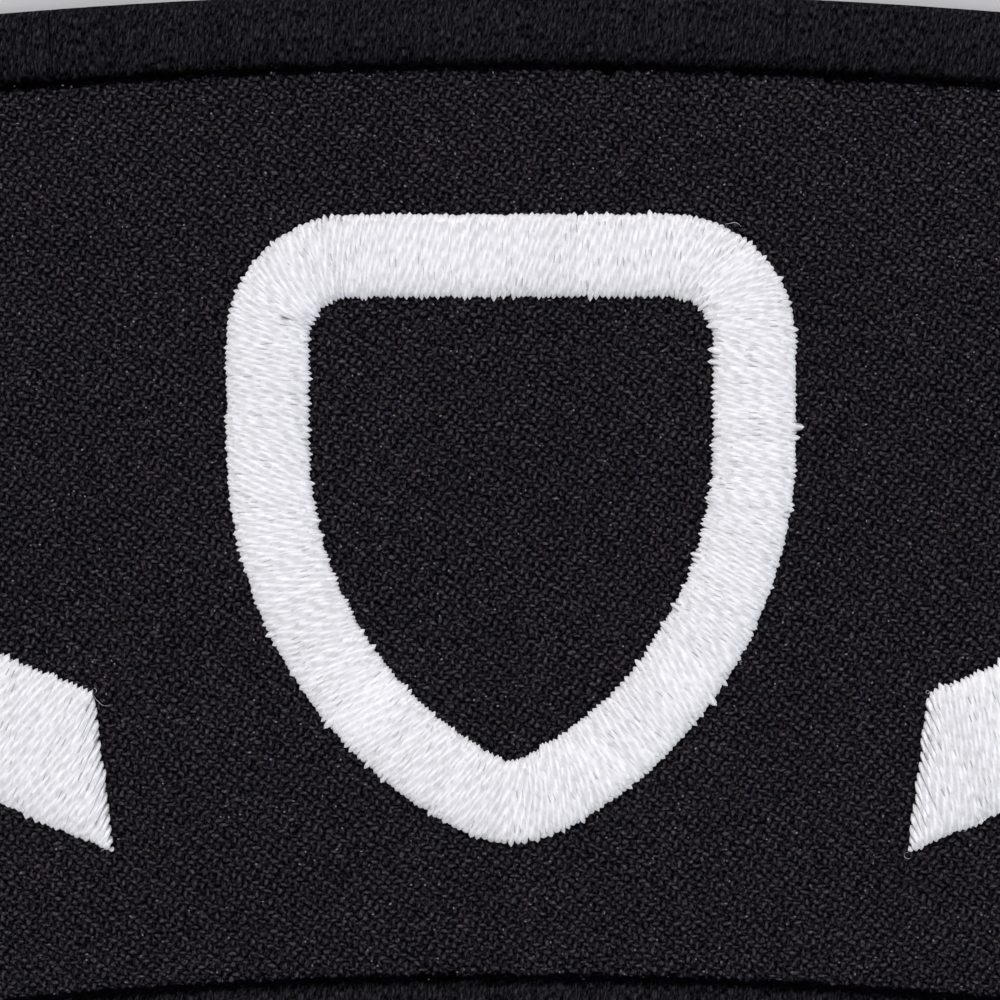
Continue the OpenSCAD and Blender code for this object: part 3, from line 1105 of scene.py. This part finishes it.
CROWDED = 1.15                 # a stitch is crowded with this many pitches or less between its neighbours
SHORTENED = (0.2, 0.36)        # share by which a crowded stitch is shortened
SHORT_DIVE = 0.24 * MM         # how deep its shortened end dives


class PATCH_OT_stitch_shields(bpy.types.Operator):
    """Stitches the three shields with satin across their band"""
    bl_idname = "patch.stitch_shields"
    bl_label = "Stitch the shields"

    def execute(self, context):
        t, band = threads(), figures().shield_band
        outlines = [shield_edge(0), shield_edge(band)]
        for node, _, angle in row_of_figures("shield"):
            random = chance(node + " lean")
            outer, inner = spread_between(*outlines, t.satin_pitch, weight=0.3, lean=t.lean, random=random)
            inner, dive = self.shorten_crowded(outer, inner, random)
            stitch_figure(node, angle, outer, inner, outlines, band / 2, (DIVE_DEPTH, dive))
        return {"FINISHED"}

    def shorten_crowded(self, outer, inner, random):
        """Where the inner edge is crowded, every second stitch ends short of it."""
        spacing = np.linalg.norm(np.roll(inner, -1, axis=0) - np.roll(inner, 1, axis=0), axis=1)
        short = (spacing < CROWDED * threads().satin_pitch) & (np.arange(len(inner)) % 2 == 0)
        cut = np.where(short, random.uniform(*SHORTENED, len(inner)), 0)[:, None]
        return inner + (outer - inner) * cut, np.where(short, SHORT_DIVE, DIVE_DEPTH)


class PATCH_OT_stitch_chevrons(bpy.types.Operator):
    """Stitches the two chevrons with satin across each leg"""
    bl_idname = "patch.stitch_chevrons"
    bl_label = "Stitch the chevrons"

    def execute(self, context):
        f = figures()
        edge = chevron_edge()
        right_leg, left_leg = edge[[3, 2, 1, 0]], edge[[0, 5, 4, 3]]
        starts, ends = fill_parts((
            (right_leg, around(1, f.chevron_slope)), (left_leg, around(1, -f.chevron_slope))))
        reach = f.chevron_band * math.cos(f.chevron_slope) / 2
        for node, _, angle in row_of_figures("chevron"):
            stitch_figure(node, angle, starts, ends, [edge], reach, (DIVE_DEPTH, DIVE_DEPTH))
        return {"FINISHED"}


SHORTEST_STITCH = 0.5 * MM     # a star's arms have no stitches shorter than this
STAR_DIVE = 0.42 * MM          # how deep its stitches dive


class PATCH_OT_stitch_stars(bpy.types.Operator):
    """Stitches the four stars with satin across each arm"""
    bl_idname = "patch.stitch_stars"
    bl_label = "Stitch the stars"

    def execute(self, context):
        for node, kind, angle in row_of_figures("star", "end_star"):
            radius, lift = star_size(kind)
            points = star_points(radius)
            arms = []
            for arm in range(0, 10, 2):
                kite = np.array((points[arm], points[(arm + 1) % 10], (0, 0), points[arm - 1]))
                arms.append((kite, around(1, arm * POINT_STEP + QUARTER_TURN)))
            starts, ends = fill_parts(arms, SHORTEST_STITCH)
            up, reach = (0, lift), star_reach(radius)
            stitch_figure(
                node, angle, starts + up, ends + up, [points + up], reach, (STAR_DIVE, STAR_DIVE))
        return {"FINISHED"}


class PATCH_OT_set_stage(bpy.types.Operator):
    """Adds the pale floor, the soft lights and the camera"""
    bl_idname = "patch.set_stage"
    bl_label = "Set the stage"

    def execute(self, context):
        self.floor()
        self.light("key", azimuth=118, elevation=52, spread=20, strength=1.55, colour=(1, 0.975, 0.95))
        self.light("side", azimuth=-35, elevation=48, spread=24, strength=0.79, colour=(0.86, 0.93, 1))
        self.light("top", azimuth=60, elevation=80, spread=30, strength=0.65, colour=(1, 1, 1))
        world = bpy.data.worlds.new("studio")
        context.scene.world = world
        world.use_nodes = True
        background = world.node_tree.nodes["Background"]
        background.inputs["Color"].default_value = (0.96, 0.97, 1, 1)
        background.inputs["Strength"].default_value = 0.63
        self.camera()
        context.scene.view_settings.view_transform = "Standard"
        return {"FINISHED"}

    def floor(self):
        select_only()
        bpy.ops.mesh.primitive_plane_add(size=8, location=(0, 0, -0.02 * MM))
        floor = bpy.context.object
        floor.name = "floor"
        w, shader = surface("pale_floor", roughness=0.7, specular=0.2)
        cloud = w.ramp(w.noise(w.object_place(), 3.0, detail=3.0), 0.2, 0.8, 0.97, 1.03)
        w.feed(w.tinted(colours().floor, cloud), shader["Base Color"])
        floor.data.materials.append(bpy.data.materials["pale_floor"])

    def light(self, name, azimuth, elevation, spread, strength, colour):
        """Even light from a wide soft source, over the whole floor. Azimuth is from +X towards +Y."""
        lamp = bpy.data.lights.new(name, "SUN")
        lamp.angle, lamp.energy, lamp.color = math.radians(spread), strength, colour
        light = link_object(name, lamp)
        turn, lift = math.radians(azimuth), math.radians(elevation)
        light.location = (math.cos(turn) * math.cos(lift), math.sin(turn) * math.cos(lift), math.sin(lift))
        light.rotation_euler = light.location.to_track_quat("Z", "Y").to_euler()

    def camera(self):
        """Straight down on to the middle of the arch, as wide as the photograph."""
        lens = bpy.data.cameras.new("camera")
        lens.lens, lens.sensor_width = 100, 36
        lens.clip_start = 0.01
        camera = link_object("camera", lens)
        wide = PHOTO_SIZE * PHOTO_PIXEL
        camera.location = (
            VIEW_MIDDLE_X * PHOTO_PIXEL,
            CAD_HIGH.y - (PHOTO_SIZE / 2 + VIEW_TOP) * PHOTO_PIXEL,
            sizes().cloth_thickness + wide * lens.lens / lens.sensor_width)
        bpy.context.scene.camera = camera


class PATCH_PT_sidebar(bpy.types.Panel):
    """Lists the sizes and colours, and a button for each step"""
    bl_idname = "PATCH_PT_sidebar"
    bl_label = "Rocker patch"
    bl_space_type = "VIEW_3D"
    bl_region_type = "UI"
    bl_category = "Rocker patch"

    def draw(self, context):
        for group in SETTINGS:
            settings = getattr(context.scene, group)
            box = self.layout.box()
            for name in settings.__annotations__:
                box.prop(settings, name)
        for step in STEPS:
            self.layout.operator(step.bl_idname)


SETTINGS = {
    "patch_sizes": PatchSizes,
    "patch_figures": FigureSizes,
    "patch_threads": ThreadSizes,
    "patch_colours": PatchColours,
}
STEPS = (
    PATCH_OT_set_stage,
    PATCH_OT_lay_twill,
    PATCH_OT_wrap_border,
    PATCH_OT_stitch_shields,
    PATCH_OT_stitch_chevrons,
    PATCH_OT_stitch_stars,
)


def register():
    for kind in (*SETTINGS.values(), *STEPS, PATCH_PT_sidebar):
        bpy.utils.register_class(kind)
    for name, kind in SETTINGS.items():
        setattr(bpy.types.Scene, name, PointerProperty(type=kind))


def unregister():
    for name in SETTINGS:
        delattr(bpy.types.Scene, name)
    for kind in reversed((*SETTINGS.values(), *STEPS, PATCH_PT_sidebar)):
        bpy.utils.unregister_class(kind)


def main():
    register()
    make_materials()
    bpy.ops.patch.set_stage()
    bpy.ops.patch.lay_twill()
    bpy.ops.patch.wrap_border()
    bpy.ops.patch.stitch_shields()
    bpy.ops.patch.stitch_chevrons()
    bpy.ops.patch.stitch_stars()


if __name__ == "__main__":
    main()
